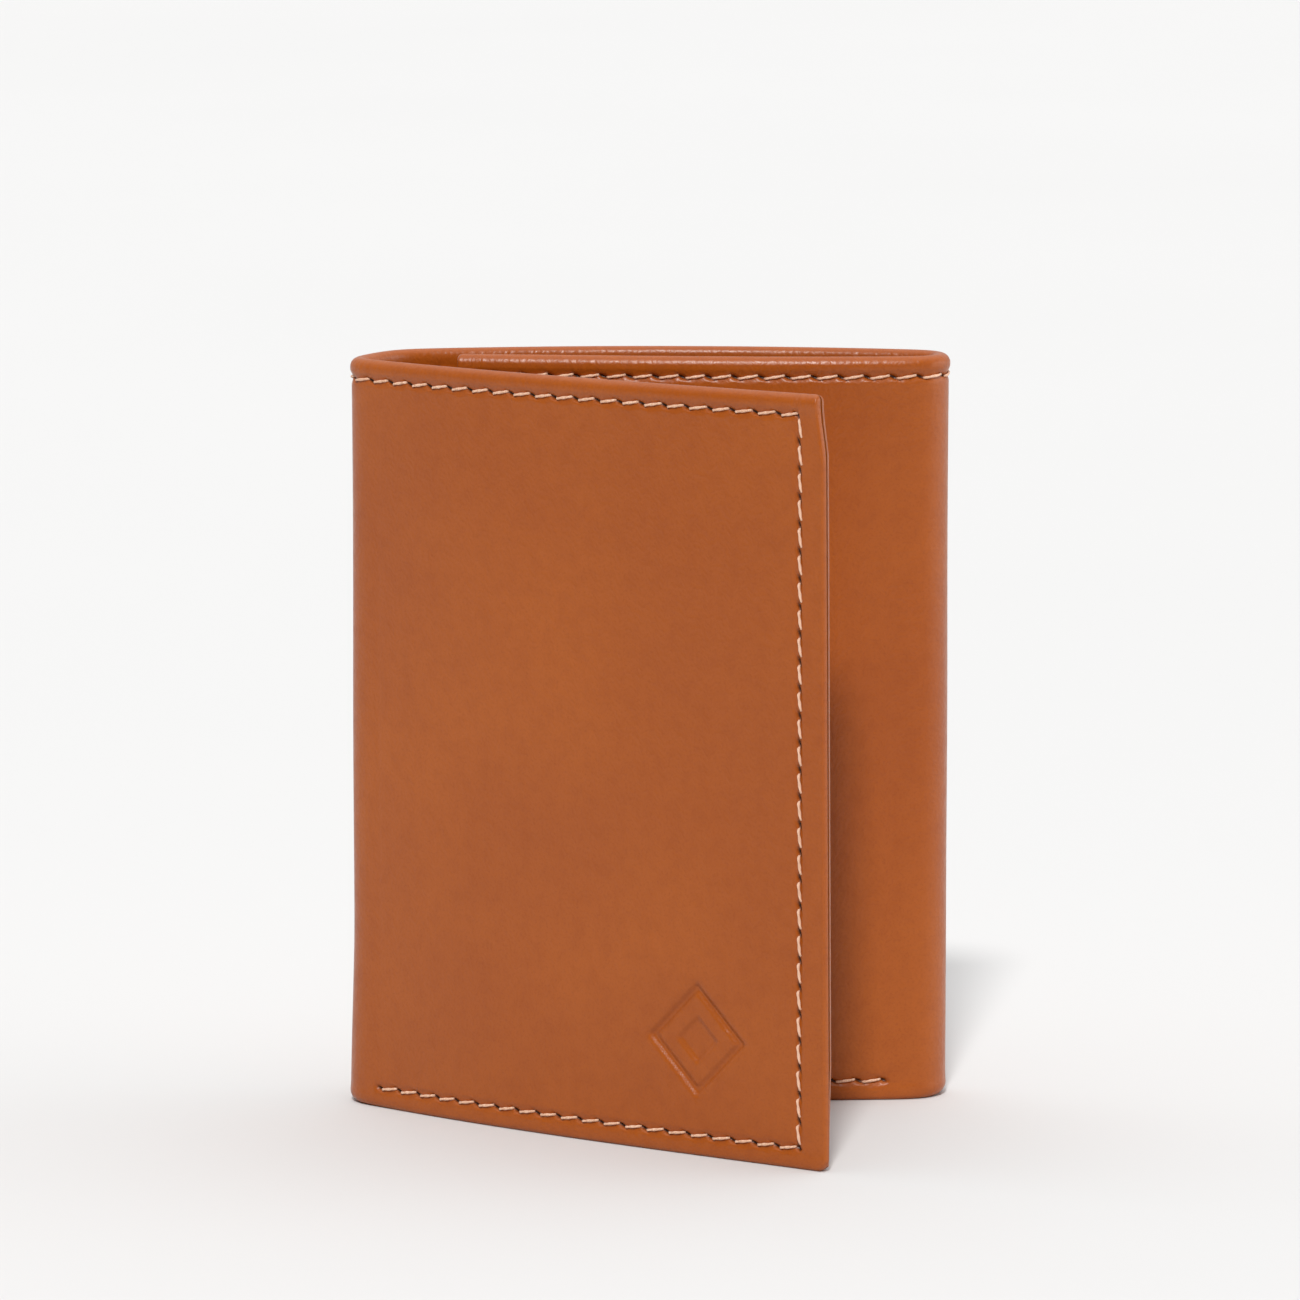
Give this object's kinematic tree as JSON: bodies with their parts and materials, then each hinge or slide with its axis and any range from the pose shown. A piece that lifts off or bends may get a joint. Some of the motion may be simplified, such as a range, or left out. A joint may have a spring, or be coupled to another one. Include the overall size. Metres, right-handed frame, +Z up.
{
  "type": "trifold wallet",
  "caption": "Upright leather wallet with a hinged cover standing ajar, an inner flap, stepped card pockets, an identity window and a note compartment.",
  "frame": {"origin": "bottom edge of the middle panel's outer leather, halfway through its thickness, on the wallet's centre line", "axes": "+X along the middle panel towards the right fold, -Y towards the cover, +Z up along the wallet's height"},
  "size_m": [0.0864, 0.0696, 0.108],
  "materials": {
    "leather": "semi-gloss smooth tan",
    "pocket_leather": "satin tan",
    "lining": "woven, matt",
    "thread": "waxed sewing thread",
    "window": "clear film"
  },
  "bodies": {
    "middle": {"middle_leather": "leather", "middle_lining": "lining", "middle_inner_panel": "pocket_leather", "middle_card_pocket_1": "pocket_leather", "middle_card_pocket_2": "pocket_leather", "middle_card_pocket_3": "pocket_leather", "middle_thread": "thread"},
    "left_fold_rear": {"left_fold_rear_leather": "leather", "left_fold_rear_lining": "lining", "left_fold_rear_inner": "pocket_leather", "left_fold_rear_thread": "thread"},
    "left_fold_front": {"left_fold_front_leather": "leather", "left_fold_front_lining": "lining", "left_fold_front_inner": "pocket_leather", "left_fold_front_thread": "thread"},
    "cover": {"cover_leather": "leather", "cover_lining": "lining", "cover_inner_panel": "pocket_leather", "cover_card_pocket_1": "pocket_leather", "cover_card_pocket_2": "pocket_leather", "cover_card_pocket_3": "pocket_leather", "cover_thread": "thread"},
    "right_fold": {"right_fold_leather": "leather", "right_fold_lining": "lining", "right_fold_inner": "pocket_leather", "right_fold_thread": "thread"},
    "flap": {"flap_leather": "leather", "flap_lining": "lining", "flap_inner_panel": "pocket_leather", "id_card_backing": "lining", "id_window": "window", "id_window_frame": "pocket_leather", "flap_thread": "thread"}
  },
  "joints": [
    {"name": "left_rear_crease", "type": "hinge", "parent": "middle", "child": "left_fold_rear", "pos_m": [-0.0372, -0.00469, 0], "axis": [0, 0, -1], "range_deg": [0, 72]},
    {"name": "left_middle_crease", "type": "hinge", "parent": "left_fold_rear", "child": "left_fold_front", "pos_m": [-0.04003, -0.01076, 0], "axis": [0, 0, -1], "range_deg": [-34, 0]},
    {"name": "left_front_crease", "type": "hinge", "parent": "left_fold_front", "child": "cover", "pos_m": [-0.04286, -0.01683, 0], "axis": [0, 0, -1], "range_deg": [0, 72]},
    {"name": "right_rear_crease", "type": "hinge", "parent": "middle", "child": "right_fold", "pos_m": [0.0424, -0.00612, 0], "axis": [0, 0, 1], "range_deg": [0, 90]},
    {"name": "right_front_crease", "type": "hinge", "parent": "right_fold", "child": "flap", "pos_m": [0.04149, -0.01477, 0], "axis": [0, 0, 1], "range_deg": [0, 92.5]}
  ],
  "couplings": [
    {"joint": "left_front_crease", "follows": "left_rear_crease", "ratio": 1},
    {"joint": "right_rear_crease", "follows": "left_rear_crease", "ratio": 1.25},
    {"joint": "right_front_crease", "follows": "left_rear_crease", "ratio": 1.2847}
  ]
}
